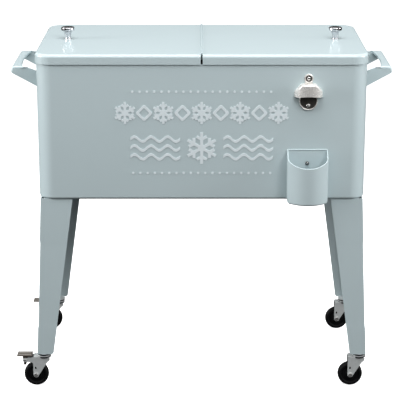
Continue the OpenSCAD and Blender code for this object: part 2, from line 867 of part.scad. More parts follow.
module cap_catcher() {
    slot_r = screw_d / 2 + 0.2;
    head_gap = 0.8;
    back_y = front_y - catcher_gap;
    color(paint) difference() {
        translate([opener_x, back_y, 0]) mirror([0, 1, 0]) difference() {
            translate([0, 0, catcher_z]) linear_extrude(catcher_h) catcher_plan(0);
            translate([0, 0, catcher_z + catcher_t]) linear_extrude(catcher_h)
                catcher_plan(catcher_t);
            translate([-catcher_w, catcher_t, catcher_top])
                rotate([-atan(catcher_slope / (catcher_out - catcher_t)), 0, 0])
                    cube([2 * catcher_w, 2 * catcher_out, catcher_h]);
        }
        translate([opener_x, back_y, hang_z]) {
            rod_y(slot_r, 4 * catcher_t);
            translate([0, 0, -catcher_lift]) rod_y(screw_d + head_gap, 4 * catcher_t);
            translate([-slot_r, -2 * catcher_t, -catcher_lift])
                cube([2 * slot_r, 4 * catcher_t, catcher_lift]);
        }
    }
}

module catcher_screw() {
    neck = catcher_gap + catcher_t + hair;
    color("silver") translate([opener_x, front_y, hang_z]) rotate([90, 0, 0]) {
        translate([0, 0, -shell_t]) cylinder(d = screw_d, h = shell_t + neck);
        translate([0, 0, neck]) cylinder(r = screw_d, h = screw_head_h);
    }
}

// ---- front emblem: two dotted rows, a row of ice crystals, and waves round a big crystal ----

module crystal(r, bar) {
    for (a = [0:60:300]) rotate(a + 30) {
        translate([0, -bar / 2]) square([r, bar]);
        for (s = [-60, 60]) translate([r * 0.55, 0]) rotate(s) translate([0, -bar / 2])
            square([r * 0.36, bar]);
    }
    circle(bar * 1.3);
}

module ice_cube(side) {
    rotate(45) difference() {
        round_rect(side, side, side / 6);
        round_rect(side * 0.6, side * 0.6, side / 9);
    }
}

// A wave line of the given length, amplitude and thickness, centred on the origin.
module wave(length, waves, rise, thick) {
    steps = waves * 10;
    function mid(i) = [length * (i / steps - 0.5), rise * sin(360 * waves * i / steps)];
    polygon(concat(
        [for (i = [0:steps]) mid(i) + [0, thick / 2]],
        [for (i = [steps:-1:0]) mid(i) - [0, thick / 2]]
    ));
}

module front_emblem() {
    row_up = 100.4;
    crystal_up = 48.5;
    crystal_pitch = 46;
    wave_down = 38;
    wave_out = 112;
    wave_gap = 22;
    color("lavender") translate([0, front_y, emblem_z]) rotate([90, 0, 0])
        linear_extrude(emblem_t) {
            for (z = [-row_up, row_up], i = [0:dot_n - 1])
                translate([(i - (dot_n - 1) / 2) * dot_pitch, z]) circle(d = dot_d);
            for (i = [-4:2:4]) translate([i * crystal_pitch, crystal_up]) crystal(27, 6);
            for (i = [-3:2:3]) translate([i * crystal_pitch, crystal_up]) ice_cube(30);
            translate([0, -wave_down]) crystal(39, 7);
            for (s = [-1, 1], dz = [-wave_gap, 0, wave_gap])
                translate([s * wave_out, dz - wave_down]) wave(120, 3, 6, 7);
        }
}

// ---- drain at the back ----

module drain_spout() {
    inner_y = body_d / 2 - shell_t - foam_t - liner_t;
    wall = 2.5;
    color(dark) translate([-drain_x, 0, drain_z]) rotate([-90, 0, 0]) difference() {
        union() {
            translate([0, 0, inner_y]) cylinder(d = drain_d, h = body_d / 2 - inner_y + drain_out);
            translate([0, 0, inner_y - 2]) cylinder(d = drain_d + 6, h = 2);
            translate([0, 0, body_d / 2]) cylinder(d = drain_d + 10, h = drain_flange);
        }
        translate([0, 0, inner_y - 3]) cylinder(d = drain_d - 2 * wall, h = body_d);
    }
}

module drain_cap() {
    cap_y = body_d / 2 + drain_flange + hair;
    cap_h = drain_out + 1;
    color(dark) translate([-drain_x, 0, drain_z]) rotate([-90, 0, 0]) difference() {
        translate([0, 0, cap_y]) cylinder(d = drain_d + 7, h = cap_h);
        translate([0, 0, cap_y - 1]) cylinder(r = drain_d / 2 + run_gap, h = cap_h - 3);
    }
}

outer_shell();
bottom_pan();
foam_insulation();
tub_floor();
tub_wall();
top_rim();
hinge_bridge();
hinge_pin();
left_front_leg();
right_front_leg();
left_back_leg();
right_back_leg();
leg_bolts();
left_handle();
right_handle();
handle_screws();
bottle_opener();
opener_screws();
catcher_screw();
front_emblem();
drain_spout();
drain_cap();
cap_catcher();
left_lid_skin();
left_lid_liner();
left_lid_foam();
left_lid_gasket();
left_hinge_leaf();
left_knob();
left_knob_screw();
right_lid_skin();
right_lid_liner();
right_lid_foam();
right_lid_gasket();
right_hinge_leaf();
right_knob();
right_knob_screw();
left_front_caster_plate();
right_front_caster_plate();
left_back_caster_plate();
right_back_caster_plate();
swivel_washers();
left_front_fork();
right_front_fork();
left_back_fork();
right_back_fork();
left_front_axle();
right_front_axle();
left_back_axle();
right_back_axle();
left_front_wheel();
right_front_wheel();
left_back_wheel();
right_back_wheel();
left_front_brake_pedal();
left_back_brake_pedal();
left_front_brake_pin();
left_back_brake_pin();
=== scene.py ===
"""A patio cooler on casters: its looks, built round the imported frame. Metres, +Z up, -Y front."""
import json
import math

import bmesh
import bpy
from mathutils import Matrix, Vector

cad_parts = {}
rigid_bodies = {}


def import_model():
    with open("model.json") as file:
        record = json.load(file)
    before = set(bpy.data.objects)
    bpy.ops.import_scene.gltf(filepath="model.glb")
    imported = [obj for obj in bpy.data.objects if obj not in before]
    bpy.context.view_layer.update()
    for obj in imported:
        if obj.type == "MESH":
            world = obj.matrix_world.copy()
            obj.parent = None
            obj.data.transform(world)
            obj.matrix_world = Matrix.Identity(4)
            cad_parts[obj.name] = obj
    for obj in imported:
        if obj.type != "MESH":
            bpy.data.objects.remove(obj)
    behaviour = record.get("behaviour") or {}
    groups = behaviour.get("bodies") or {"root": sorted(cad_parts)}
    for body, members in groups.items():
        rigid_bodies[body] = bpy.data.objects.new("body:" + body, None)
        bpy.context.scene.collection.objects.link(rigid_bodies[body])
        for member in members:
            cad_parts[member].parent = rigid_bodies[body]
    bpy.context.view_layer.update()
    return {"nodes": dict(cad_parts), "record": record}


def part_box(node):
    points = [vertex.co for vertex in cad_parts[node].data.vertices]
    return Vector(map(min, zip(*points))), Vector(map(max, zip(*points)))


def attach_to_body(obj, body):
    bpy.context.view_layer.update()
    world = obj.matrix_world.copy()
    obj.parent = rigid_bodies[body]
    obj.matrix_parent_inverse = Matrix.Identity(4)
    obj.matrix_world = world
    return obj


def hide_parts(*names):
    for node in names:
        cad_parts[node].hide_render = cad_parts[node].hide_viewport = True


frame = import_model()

MM = 0.001
# The way each corner of the cooler lies along X and along Y.
CORNERS = {"left_front": (-1, -1), "right_front": (1, -1),
           "left_back": (-1, 1), "right_back": (1, 1)}


# ---- shader arithmetic ----

SHADER_SOCKETS = {
    "roughness": "Roughness", "metallic": "Metallic", "specular": "Specular IOR Level",
    "coat": "Coat Weight", "coat_roughness": "Coat Roughness",
}


class Socket:
    """A shader socket that adds Math nodes when it is used in an expression."""

    def __init__(self, nodes, link):
        self.nodes = nodes
        self.link = link

    def math(self, operation, *values):
        return self.nodes.node("ShaderNodeMath", {"operation": operation}, values)

    def __add__(self, other):
        return self.math("ADD", self, other)

    def __mul__(self, other):
        return self.math("MULTIPLY", self, other)

    __radd__ = __add__
    __rmul__ = __mul__


class NodeTree:
    """Adds nodes to a tree: first a node's settings, then the values or links of its sockets."""

    def __init__(self, tree):
        self.tree = tree

    def set(self, socket, value):
        """Gives a socket a link or a plain value."""
        if isinstance(value, Socket):
            self.tree.links.new(value.link, socket)
        else:
            socket.default_value = value

    def node(self, kind, settings=None, inputs=(), output=0):
        made = self.tree.nodes.new(kind)
        for key, value in (settings or {}).items():
            if key == "stops":
                self.place_stops(made.color_ramp, value)
            else:
                setattr(made, key, value)
        pairs = inputs.items() if isinstance(inputs, dict) else enumerate(inputs)
        for key, value in pairs:
            self.set(made.inputs[key], value)
        return Socket(self, made.outputs[output])

    @staticmethod
    def place_stops(ramp, stops):
        while len(ramp.elements) < len(stops):
            ramp.elements.new(0.5)
        for element, (position, colour) in zip(ramp.elements, stops):
            element.position = position
            element.color = tuple(colour) + (1.0,)


class Finish(NodeTree):
    """A material with one Principled shader. Constants sit on the shader's own sockets."""

    def __init__(self, name, colour, **constants):
        self.material = bpy.data.materials.new(name)
        self.material.use_nodes = True
        super().__init__(self.material.node_tree)
        self.shader = self.tree.nodes["Principled BSDF"]
        self.colour = tuple(colour) + (1.0,)
        self.shader.inputs["Base Color"].default_value = self.colour
        for socket, value in constants.items():
            self.shader.inputs[SHADER_SOCKETS[socket]].default_value = value
        self.material.diffuse_color = self.colour
        self.place = self.node("ShaderNodeTexCoord", output="Object")

    def noise(self, scale, detail=3.0, roughness=0.5, where=None):
        return self.node("ShaderNodeTexNoise", {}, {
            "Vector": where or self.place, "Scale": scale, "Detail": detail,
            "Roughness": roughness})

    def stretched(self, x, y, z):
        """Object coordinates scaled along each axis."""
        return self.node("ShaderNodeMapping", {}, {"Vector": self.place, "Scale": (x, y, z)})

    def mix(self, factor, one, other):
        """A colour between two colours."""
        return self.node("ShaderNodeMix", {"data_type": "RGBA"}, {0: factor, 6: one, 7: other}, 2)

    def shade(self, factor, light, dark):
        """The base colour, from light to dark times itself as factor goes from 0 to 1."""
        tints = [tuple(min(1, part * level) for part in self.colour[:3]) + (1.0,)
                 for level in (light, dark)]
        self.feed("Base Color", self.mix(factor, *tints))

    def feed(self, socket, value):
        self.set(self.shader.inputs[socket], value)

    def bump(self, height, depth, strength):
        """Raises the surface by height times depth, in metres."""
        self.feed("Normal", self.node("ShaderNodeBump", {}, {
            "Height": height, "Distance": depth, "Strength": strength}))


# ---- finishes ----

def powder_coat(name, colour):
    """Pale powder coat: fine orange peel, a soft clear gloss and the faintest unevenness."""
    paint = Finish(name, colour, roughness=0.34, coat=0.3, coat_roughness=0.12, specular=0.45)
    cloud = paint.noise(7.0, 2.0)
    speck = paint.noise(900.0, 1.0)
    peel = paint.noise(420.0, 2.0)
    paint.shade(cloud * 0.7 + speck * 0.3, 1.03, 0.97)
    paint.feed("Roughness", 0.30 + cloud * 0.08)
    paint.bump(peel * 0.6 + speck * 0.4, 0.06 * MM, 0.35)
    return paint.material


def plated_steel(name, colour, roughness, grain, metallic):
    """Plated pressed steel: rolling marks across the axis of the largest grain, and spangle."""
    steel = Finish(name, colour, metallic=metallic, roughness=roughness)
    spangle = steel.noise(160.0, 3.0)
    marks = steel.noise(60.0, 4.0, 0.6, steel.stretched(*grain))
    steel.shade(spangle * 0.6 + marks * 0.4, 1.12, 0.82)
    steel.feed("Roughness", roughness * 0.7 + marks * roughness * 0.6)
    steel.bump(marks, 0.04 * MM, 0.4)
    return steel.material


def polished_metal(name, colour, roughness, metallic):
    """Polished metal: nearly a mirror where it is smooth, with slight waves and faint smudges."""
    metal = Finish(name, colour, metallic=metallic, roughness=roughness)
    smudge = metal.noise(90.0, 4.0, 0.6)
    wave = metal.noise(55.0, 1.0)
    metal.shade(smudge, 1.04, 0.94)
    metal.feed("Roughness", roughness * 0.6 + smudge * roughness * 0.9)
    metal.bump(wave, 0.1 * MM, 0.25)
    return metal.material


def moulded(name, colour, roughness, grain_scale=700.0, depth=0.08 * MM, spread=0.2, gloss=0.4):
    """Moulded plastic, rubber or enamel with a fine leathery grain."""
    plastic = Finish(name, colour, roughness=roughness, specular=gloss)
    grain = plastic.noise(grain_scale, 3.0, 0.6)
    cloud = plastic.noise(25.0, 3.0)
    plastic.shade(cloud, 1 + spread, 1 - spread)
    plastic.feed("Roughness", roughness * 0.85 + grain * roughness * 0.3)
    plastic.bump(grain, depth, 0.6)
    return plastic.material


# A lighter copy of the pedal steel for the raised ribs: painted highlight where they catch the
# light.
PEDAL_RIB_HIGHLIGHT = plated_steel("worn_bronze_steel", (0.36, 0.34, 0.31), 0.35, (1.0, 10.0, 1.0), 0.6)
# A dark copy of the opener's casting: painted shade for the recessed tongue and the upper screw's
# seat.
CASTING_PAINTED_SHADE = polished_metal("shaded_casting", (0.13, 0.12, 0.11), 0.3, 0.7)
BLACK_PLASTIC = moulded("black_plastic", (0.010, 0.011, 0.013), 0.45, gloss=0.2)

SLOT_FINISH = {
    "powder_coat": powder_coat("ice_blue_powder_coat", (0.505, 0.60, 0.622)),
    "emblem_coat": powder_coat("pale_emblem_coat", (0.745, 0.82, 0.85)),
    "zinc_plate": plated_steel("zinc_plate", (0.66, 0.69, 0.69), 0.4, (1.0, 1.0, 12.0), 0.3),
    "bright_steel": plated_steel(
        "bright_nickel_steel", (0.80, 0.79, 0.77), 0.25, (1.0, 8.0, 1.0), 0.85),
    # The brake pedals' plated steel: a brownish tone darkened with painted shade.
    "pedal_steel": plated_steel(
        "dark_bronze_steel", (0.17, 0.145, 0.125), 0.4, (1.0, 10.0, 1.0), 0.6),
    "polished_chrome": polished_metal("polished_chrome", (0.52, 0.52, 0.54), 0.05, 1.0),
    "cast_opener": polished_metal("tumbled_nickel_casting", (0.84, 0.82, 0.79), 0.26, 0.45),
    "black_plastic": BLACK_PLASTIC,
    "gasket_rubber": moulded("seal_rubber", (0.022, 0.022, 0.024), 0.75, 300.0),
    "wheel_black": moulded(
        "black_wheel", (0.006, 0.006, 0.0065), 0.5, 900.0, 0.05 * MM, gloss=0.12),
    "tub_steel": moulded("white_tub", (0.74, 0.76, 0.76), 0.3, 500.0, 0.04 * MM, 0.03),
    "nylon": moulded("nylon", (0.75, 0.72, 0.64), 0.45),
    "foam": moulded("closed_cell_foam", (0.72, 0.62, 0.38), 0.9, 400.0, 0.3 * MM),
}
node_slot = {part["node"]: part["material_slot"] for part in frame["record"]["subparts"]}
node_body = {node: body for body, nodes in frame["record"]["behaviour"]["bodies"].items()
             for node in nodes}
for node, node_object in frame["nodes"].items():
    node_object.data.materials.clear()
    node_object.data.materials.append(SLOT_FINISH[node_slot[node]])


# ---- modelling by hand ----

TURN = {"X": (0, math.pi / 2, 0), "Y": (math.pi / 2, 0, 0), "Z": (0, 0, 0)}


def at(x, y, z):
    """A point given in millimetres."""
    return Vector((x, y, z)) * MM


def middle_of(node):
    low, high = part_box(node)
    return (low + high) / 2


def rest():
    """Leaves edit mode and deselects everything."""
    if bpy.context.object and bpy.context.object.mode != "OBJECT":
        bpy.ops.object.mode_set(mode="OBJECT")
    bpy.ops.object.select_all(action="DESELECT")


def only(piece):
    rest()
    piece.select_set(True)
    bpy.context.view_layer.objects.active = piece


def settle(name):
    """Names the fresh primitive and moves its place into its mesh."""
    piece = bpy.context.object
    piece.name = piece.data.name = name
    bpy.ops.object.transform_apply(location=True, rotation=True, scale=True)
    return piece


def block(name, low, high):
    rest()
    low, high = Vector(low), Vector(high)
    bpy.ops.mesh.primitive_cube_add(size=1, location=(low + high) / 2, scale=high - low)
    return settle(name)


def drum(name, centre, radius, length, axis="Z", sides=32):
    rest()
    bpy.ops.mesh.primitive_cylinder_add(
        vertices=sides, radius=radius, depth=length, location=centre, rotation=TURN[axis])
    return settle(name)


def spot(item):
    """The middle of a vertex, edge or face."""
    if hasattr(item, "co"):
        return item.co
    if isinstance(item, bmesh.types.BMEdge):
        return (item.verts[0].co + item.verts[1].co) / 2
    return item.calc_center_median()


def near(value, target, slack=0.05 * MM):
    return abs(value - target) < slack


def upright(edge):
    """True for an edge that runs along Z."""
    way = edge.verts[1].co - edge.verts[0].co
    return abs(way.z) > 0.9 * way.length


def ends_at(edge, axis, value):
    """True for an edge with both ends at one value of an axis."""
    return all(near(getattr(end.co, axis), value) for end in edge.verts)


def pick(piece, kind, test):
    """Opens a piece in edit mode with just the items that pass the test selected."""
    only(piece)
    bpy.ops.object.mode_set(mode="EDIT")
    bpy.ops.mesh.select_mode(type=kind)
    bpy.ops.mesh.select_all(action="DESELECT")
    form = bmesh.from_edit_mesh(piece.data)
    form.normal_update()
    items = {"VERT": form.verts, "EDGE": form.edges, "FACE": form.faces}[kind]
    chosen = [item for item in items if test(item)]
    for item in chosen:
        item.select_set(True)
    form.select_flush_mode()
    bmesh.update_edit_mesh(piece.data)
    return len(chosen)


def pick_all(piece):
    pick(piece, "VERT", lambda vertex: True)


def soften(piece, width, test, segments=3, kind="EDGE", **extra):
    """Rounds the edges (or corners) that pass the test."""
    if pick(piece, kind, test):
        bpy.ops.mesh.bevel(offset=width, segments=segments,
                           affect="VERTICES" if kind == "VERT" else "EDGES", **extra)
    rest()


def cut_away(piece, test):
    """Deletes the faces that pass the test."""
    if pick(piece, "FACE", test):
        bpy.ops.mesh.delete(type="FACE")
    rest()


def slice_at(piece, point, normal, test=lambda face: True, drop_beyond=False):
    """Cuts a piece by a plane, and may drop what lies beyond it on the normal's side."""
    pick(piece, "FACE", test)
    bpy.ops.mesh.bisect(plane_co=point, plane_no=normal, clear_outer=drop_beyond)
    rest()


def shift(piece, move, test=lambda vertex: True):
    """Moves each vertex that passes the test by move(place)."""
    rest()
    for vertex in piece.data.vertices:
        if test(vertex):
            vertex.co += move(vertex.co)
    piece.data.update()


def plate(name, outline, thickness):
    """A flat outline of points, drawn out along a vector."""
    rest()
    bpy.ops.mesh.primitive_circle_add(vertices=len(outline), radius=1, fill_type="NGON")
    piece = settle(name)
    for vertex, point in zip(piece.data.vertices, outline):
        vertex.co = point
    pick(piece, "FACE", lambda face: True)
    bpy.ops.mesh.extrude_region_move(TRANSFORM_OT_translate={"value": thickness})
    bpy.ops.mesh.select_all(action="SELECT")
    bpy.ops.mesh.normals_make_consistent(inside=False)
    rest()
    return piece


def lathe(name, profile, centre, axis="Z", steps=48):
    """Spins a profile of (radius, height) in millimetres about an axis through centre."""
    rest()
    bpy.ops.mesh.primitive_circle_add(vertices=len(profile), radius=1, fill_type="NOTHING")
    piece = settle(name)
    for vertex, (radius, height) in zip(piece.data.vertices, profile):
        vertex.co = at(radius, 0, height)
    last = len(profile) - 1
    if profile[0][0] == 0 and profile[-1][0] == 0:
        pick(piece, "EDGE", lambda edge: {end.index for end in edge.verts} == {0, last})
        bpy.ops.mesh.delete(type="EDGE")
    pick_all(piece)
    bpy.ops.mesh.spin(steps=steps, angle=2 * math.pi, center=(0, 0, 0), axis=(0, 0, 1))
    bpy.ops.mesh.select_all(action="SELECT")
    bpy.ops.mesh.remove_doubles(threshold=0.001 * MM)
    bpy.ops.mesh.normals_make_consistent(inside=False)
    only(piece)
    piece.rotation_euler = TURN[axis]
    piece.location = centre
    bpy.ops.object.transform_apply(location=True, rotation=True, scale=True)
    return piece


def modify(piece, kind, **settings):
    """Adds a modifier and applies it at once."""
    only(piece)
    modifier = piece.modifiers.new(kind.title(), kind)
    for key, value in settings.items():
        setattr(modifier, key, value)
    bpy.ops.object.modifier_apply(modifier=modifier.name)


def break_edges(piece, width, sharper_than, **extra):
    """Bevels the edges that turn by more than an angle in degrees."""
    modify(piece, "BEVEL", width=width, segments=2, limit_method="ANGLE",
           angle_limit=math.radians(sharper_than), **extra)


def thicken(piece, wall, even=True):
    """Gives a sheet its thickness, inward from its outer face."""
    pick_all(piece)
    bpy.ops.mesh.remove_doubles(threshold=0.02 * MM)
    bpy.ops.mesh.dissolve_degenerate(threshold=0.01 * MM)
    rest()
    modify(piece, "SOLIDIFY", thickness=wall, offset=-1, use_even_offset=even,
           use_quality_normals=True)


def merge(name, *parts):
    rest()
    for part in parts:
        part.select_set(True)
    bpy.context.view_layer.objects.active = parts[0]
    bpy.ops.object.join()
    parts[0].name = parts[0].data.name = name
    return parts[0]


def inside_out(piece):
    form = bmesh.new()
    form.from_mesh(piece.data)
    volume = form.calc_volume(signed=True)
    form.free()
    return volume < 0


def copy_of(piece, name, flip=(1, 1, 1), turn=(0, 0, 0), move=(0, 0, 0)):
    """A copy with its own mesh, mirrored by flip, turned and then moved."""
    only(piece)
    bpy.ops.object.duplicate()
    twin = bpy.context.object
    twin.scale = flip
    twin.rotation_euler = turn
    twin.location = move
    bpy.ops.object.transform_apply(location=True, rotation=True, scale=True)
    twin.name = twin.data.name = name
    if inside_out(twin):
        pick(twin, "FACE", lambda face: True)
        bpy.ops.mesh.flip_normals()
    rest()
    return twin


def discard(piece):
    bpy.data.objects.remove(piece, do_unlink=True)


def carve(piece, *tools, operation="DIFFERENCE"):
    """Takes each tool's shape out of a piece, or keeps only what they share."""
    for tool in tools:
        modify(piece, "BOOLEAN", operation=operation, solver="EXACT", object=tool)
        discard(tool)


def attach(piece, slot, body, *nodes, finish=None, angle=35):
    """Smooths a piece, gives it its finish and puts it on its body."""
    only(piece)
    bpy.ops.object.shade_smooth_by_angle(angle=math.radians(angle))
    modify(piece, "WEIGHTED_NORMAL", keep_sharp=True)
    piece.data.materials.clear()
    piece.data.materials.append(finish or SLOT_FINISH[slot])
    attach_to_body(piece, body)
    if nodes:
        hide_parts(*nodes)
    rest()


def ease_node(node, width):
    """Puts a copy with broken edges in the place of a hard-edged part."""
    piece = bpy.data.objects.new("eased_" + node, frame["nodes"][node].data.copy())
    bpy.context.collection.objects.link(piece)
    pick_all(piece)
    bpy.ops.mesh.remove_doubles(threshold=0.002 * MM)
    bpy.ops.mesh.dissolve_limited(angle_limit=math.radians(0.5))
    rest()
    break_edges(piece, width, 32, use_clamp_overlap=True)
    attach(piece, node_slot[node], node_body[node], node)


# ---- lids ----

LID_WALL = 1.2 * MM
LID_CORNER = 41 * MM
LID_FILLET = 8 * MM
SEAM_FILLET = 1.2 * MM
gasket_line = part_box("right_lid_gasket")[1].z


def lid_shell():
    """The right lid's pressed skin, open underneath and cut off above the hinge bar."""
    low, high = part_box("right_lid_skin")
    skin = block("right_lid", low, high)

    def on_seam(item):
        return near(spot(item).x, low.x)

    cut_away(skin, lambda face: near(spot(face).z, low.z))
    soften(skin, LID_CORNER, lambda e: upright(e) and near(spot(e).x, high.x), 14)
    soften(skin, LID_FILLET, lambda e: ends_at(e, "z", high.z) and not on_seam(e), 6)
    slice_at(skin, (0, 0, gasket_line), (0, 0, 1), on_seam)
    cut_away(skin, lambda face: on_seam(face) and spot(face).z < gasket_line)
    soften(skin, SEAM_FILLET, lambda e: ends_at(e, "z", high.z) and on_seam(e), 3)
    thicken(skin, LID_WALL)
    return skin


right_lid = lid_shell()
left_lid = copy_of(right_lid, "left_lid", (-1, 1, 1))
attach(right_lid, "powder_coat", "right_lid", "right_lid_skin")
attach(left_lid, "powder_coat", "left_lid", "left_lid_skin")


def knob_form():
    """A turned knob: a slim foot that flares up into a flat-topped cap with a rolled rim."""
    foot = [(0, 0.2), (7.7, 0.2), (7.8, 0.6), (7.5, 1.2), (7, 1.9)]
    flare = [(7.1, 4.5), (7.6, 8.5), (8.4, 12.5), (9.5, 16), (10.7, 18.6), (12.4, 20.2)]
    cap = [(14.6, 20.9), (15.9, 21.5), (16.4, 22.6), (16.5, 24), (16.5, 27.2), (16.3, 28.4),
           (15.7, 29.3), (14.8, 29.8), (13, 30), (0, 30)]
    foot_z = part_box("right_knob")[0].z
    return lathe("right_lid_knob", foot + flare + cap, (middle_of("right_knob").x, 0, foot_z),
                 steps=64)


right_knob = knob_form()
left_knob = copy_of(right_knob, "left_lid_knob", (-1, 1, 1))
attach(right_knob, "polished_chrome", "right_lid", "right_knob", angle=50)
attach(left_knob, "polished_chrome", "left_lid", "left_knob", angle=50)


# ---- cabinet ----

CABINET_WALL = 1.5 * MM
CABINET_CORNER = 38 * MM
ROLLED_EDGE = 7 * MM


def cabinet_wall():
    """The cabinet's wrapped sheet, open at the top and rolled under at the bottom."""
    low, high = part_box("outer_shell")
    wall = block("cabinet_wall", low, high)
    cut_away(wall, lambda face: near(spot(face).z, high.z))
    soften(wall, CABINET_CORNER, upright, 14)
    soften(wall, ROLLED_EDGE, lambda e: ends_at(e, "z", low.z), 5)
    thicken(wall, CABINET_WALL)
    return wall


attach(cabinet_wall(), "powder_coat", "cabinet", "outer_shell")


# ---- legs ----

LEG_INSET = 4.5 * MM
LEG_FOOT_W = 40 * MM
LEG_WALL = 2 * MM
LEG_TUCK = 1.5 * MM
FLUTE_LOW, FLUTE_HIGH = 160 * MM, 380 * MM
# The flute's depth in millimetres each way, and half its width as a share of the leg's.
FLUTE_DEPTH = 1.1
FLUTE_SHARE = 0.12
FLANGE_W = 50 * MM
FLANGE_INSET = 1.6 * MM


def leg_form():
    """The right back leg: two tapered faces folded round a big soft corner, with a shallow
    flute pressed down the corner and the lower corners trimmed round. Its top is tucked up
    under the cabinet's rolled edge."""
    low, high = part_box("right_back_leg")
    shell_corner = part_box("outer_shell")[1]
    out_x, out_y = shell_corner.x - LEG_INSET, shell_corner.y - LEG_INSET
    top_w = out_x - low.x
    splay = Vector((high.x - out_x, high.y - out_y, 0))
    leg = block("right_back_leg_form", (out_x - top_w, out_y - top_w, low.z),
                (out_x, out_y, high.z + LEG_TUCK))
    pick(leg, "VERT", lambda v: near(v.co.z, low.z))
    bpy.ops.transform.resize(value=(LEG_FOOT_W / top_w, LEG_FOOT_W / top_w, 1),
                             center_override=(out_x, out_y, low.z))
    bpy.ops.transform.translate(value=splay)
    rest()
    cut_away(leg, lambda f: abs(f.normal.z) > 0.8 or f.normal.x < -0.8 or f.normal.y < -0.8)
    soften(leg, 47, lambda e: upright(e) and spot(e).x > out_x and spot(e).y > out_y, 14,
           offset_type="PERCENT")
    soften(leg, 6 * MM, lambda v: near(v.co.z, low.z) and len(v.link_edges) == 2
           and len(v.link_faces) == 1, 4, "VERT")
    steps_in = (-5 * MM, 3 * MM, 11 * MM)
    levels = [FLUTE_LOW + step for step in steps_in] + [(FLUTE_LOW + FLUTE_HIGH) / 2]
    levels += [FLUTE_HIGH - step for step in reversed(steps_in)]
    for level in levels:
        slice_at(leg, (0, 0, level), (0, 0, 1))

    def press(place):
        drift = (high.z - place.z) / (high.z - low.z)
        corner = Vector((out_x, out_y, 0)) + splay * drift
        across = (corner.x - place.x) - (corner.y - place.y)
        width = top_w + (LEG_FOOT_W - top_w) * drift
        deep = max(0, 1 - (across / (FLUTE_SHARE * width)) ** 2)
        return at(-1, -1, 0) * (FLUTE_DEPTH * deep)

    shift(leg, press, lambda v: FLUTE_LOW < v.co.z < FLUTE_HIGH)
    thicken(leg, LEG_WALL)
    flange_x, flange_y = out_x - FLANGE_INSET, out_y - FLANGE_INSET
    flange = block("flange", (out_x - FLANGE_W, out_y - FLANGE_W, high.z - 3 * MM),
                   (flange_x, flange_y, high.z - MM))
    soften(flange, 37 * MM, lambda e: upright(e) and near(spot(e).x, flange_x)
           and near(spot(e).y, flange_y), 14)
    return merge("right_back_leg_form", leg, flange)


leg_piece = leg_form()
for corner, (x_way, y_way) in CORNERS.items():
    if corner != "right_back":
        attach(copy_of(leg_piece, corner + "_leg_form", (x_way, y_way, 1)),
               "powder_coat", "cabinet", corner + "_leg")
attach(leg_piece, "powder_coat", "cabinet", "right_back_leg")


# ---- side handles ----

# In millimetres; the grip's inner edge is measured from the cabinet's wall.
GRIP_INNER = 42
GRIP_LIP = 5
GRIP_BOW = 7
GRIP_HALF = 98
TAB_W = 24
HANDLE_WALL = 2.5 * MM


def handle_form():
    """The right handle: a flat grip pressed in one with its two arms and their screw tabs."""
    low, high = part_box("right_handle")
    wall, half, top = round(low.x / MM), round(high.y / MM), round(high.z / MM)
    wall_x, grip_x, half_w = wall * MM, (wall + GRIP_INNER) * MM, half * MM
    bend = [(0, -54), (67.5, -17), (69.6, -13.4), (70, -10), (69.3, -5.8), (66.8, -2.2),
            (63.6, -0.4), (60, 0), (GRIP_INNER, 0), (0, -14)]
    outline = [at(wall + out, -half, top + up) for out, up in bend]
    sheet = plate("right_handle_form", outline, at(0, 2 * half, 0))

    def on_arm(item):
        return abs(spot(item).y) > half_w - MM

    def at_wall(item):
        return near(spot(item).x, wall_x, MM)

    cut_away(sheet, lambda f: abs(f.normal.y) < 0.5 and (f.normal.z < -0.3 or spot(f).x < grip_x))
    for side in (-1, 1):
        pick(sheet, "EDGE", lambda e: ends_at(e, "x", wall_x) and spot(e).y * side > 0)
        bpy.ops.mesh.extrude_region_move(
            TRANSFORM_OT_translate={"value": at(0, -TAB_W * side, 0)})
        rest()
    pick(sheet, "EDGE", lambda e: ends_at(e, "x", grip_x))
    bpy.ops.mesh.extrude_region_move(TRANSFORM_OT_translate={"value": at(0, 0, -GRIP_LIP)})
    rest()
    shift(sheet, lambda place: at(0, 0, -8), lambda v: at_wall(v) and not on_arm(v)
          and v.co.z < high.z - 48 * MM)
    soften(sheet, 4.5 * MM, lambda e: len(e.link_faces) == 2 and on_arm(e), 5)
    soften(sheet, 1.6 * MM, lambda e: ends_at(e, "x", grip_x) and near(spot(e).z, high.z, MM)
           and len(e.link_faces) == 2, 3)
    soften(sheet, 4 * MM, lambda v: at_wall(v) and abs(v.co.y) < half_w - (TAB_W - 1) * MM,
           4, "VERT")
    for step in range(-8, 9):
        slice_at(sheet, at(0, 11.5 * step, 0), (0, 1, 0), lambda f: spot(f).x > grip_x - 9 * MM)
    shift(sheet, lambda place: at(GRIP_BOW, 0, 0) * max(0, 1 - (place.y / (GRIP_HALF * MM)) ** 2),
          lambda v: near(v.co.x, grip_x, 4.5 * MM) and abs(v.co.y) < GRIP_HALF * MM)
    thicken(sheet, HANDLE_WALL, even=False)
    return sheet


handle_piece = handle_form()
attach(copy_of(handle_piece, "left_handle_form", (-1, 1, 1)), "powder_coat", "cabinet",
       "left_handle")
attach(handle_piece, "powder_coat", "cabinet", "right_handle")


# ---- screws ----

# In millimetres.
SCREW_R = 4.5
SCREW_H = 2.5
SCREW_SHANK = 3.5
HANDLE_SCREW_Y = 90.5 * MM
TO_FRONT = (math.pi / 2, 0, 0)
TO_RIGHT = (0, math.pi / 2, 0)
TO_LEFT = (0, -math.pi / 2, 0)


